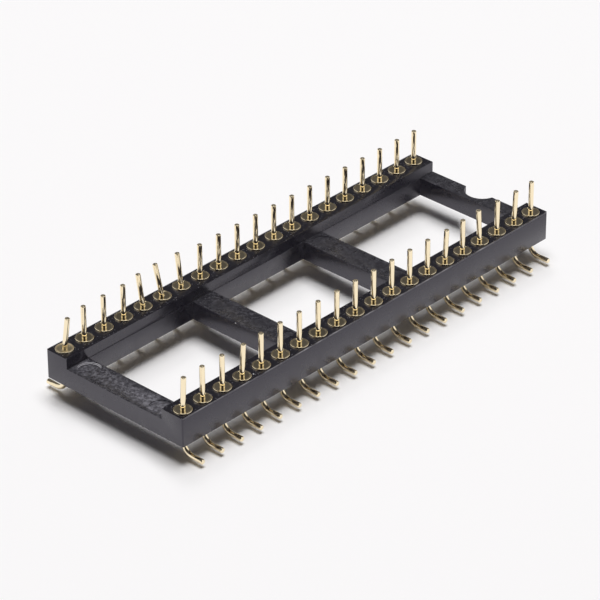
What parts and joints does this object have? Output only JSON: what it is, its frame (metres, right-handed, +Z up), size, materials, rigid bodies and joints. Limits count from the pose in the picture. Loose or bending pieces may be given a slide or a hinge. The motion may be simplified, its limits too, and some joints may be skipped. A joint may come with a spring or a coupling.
{
  "type": "pin header",
  "caption": "Two-row round-pin header for surface mounting, on an open moulded carrier with a polarity notch.",
  "frame": {"origin": "middle of the footprint, on the plane that the solder feet stand on", "axes": "+X along the rows of pins towards the end with the polarity notch, +Y across the rows, +Z up along the pins"},
  "size_m": [0.0506, 0.02, 0.0083],
  "materials": {
    "moulding": "black glass-filled thermoplastic as moulded, satin sides, finely pitted tops",
    "gold_plating": "turned brass plated with pale gold, polished, faint turning lines on the collars"
  },
  "bodies": {
    "root": {"carrier": "moulding", "pin_01": "gold_plating", "pin_02": "gold_plating", "pin_03": "gold_plating", "pin_04": "gold_plating", "pin_05": "gold_plating", "pin_06": "gold_plating", "pin_07": "gold_plating", "pin_08": "gold_plating", "pin_09": "gold_plating", "pin_10": "gold_plating", "pin_11": "gold_plating", "pin_12": "gold_plating", "pin_13": "gold_plating", "pin_14": "gold_plating", "pin_15": "gold_plating", "pin_16": "gold_plating", "pin_17": "gold_plating", "pin_18": "gold_plating", "pin_19": "gold_plating", "pin_20": "gold_plating", "pin_21": "gold_plating", "pin_22": "gold_plating", "pin_23": "gold_plating", "pin_24": "gold_plating", "pin_25": "gold_plating", "pin_26": "gold_plating", "pin_27": "gold_plating", "pin_28": "gold_plating", "pin_29": "gold_plating", "pin_30": "gold_plating", "pin_31": "gold_plating", "pin_32": "gold_plating", "pin_33": "gold_plating", "pin_34": "gold_plating", "pin_35": "gold_plating", "pin_36": "gold_plating", "pin_37": "gold_plating", "pin_38": "gold_plating", "pin_39": "gold_plating", "pin_40": "gold_plating"}
  },
  "joints": []
}
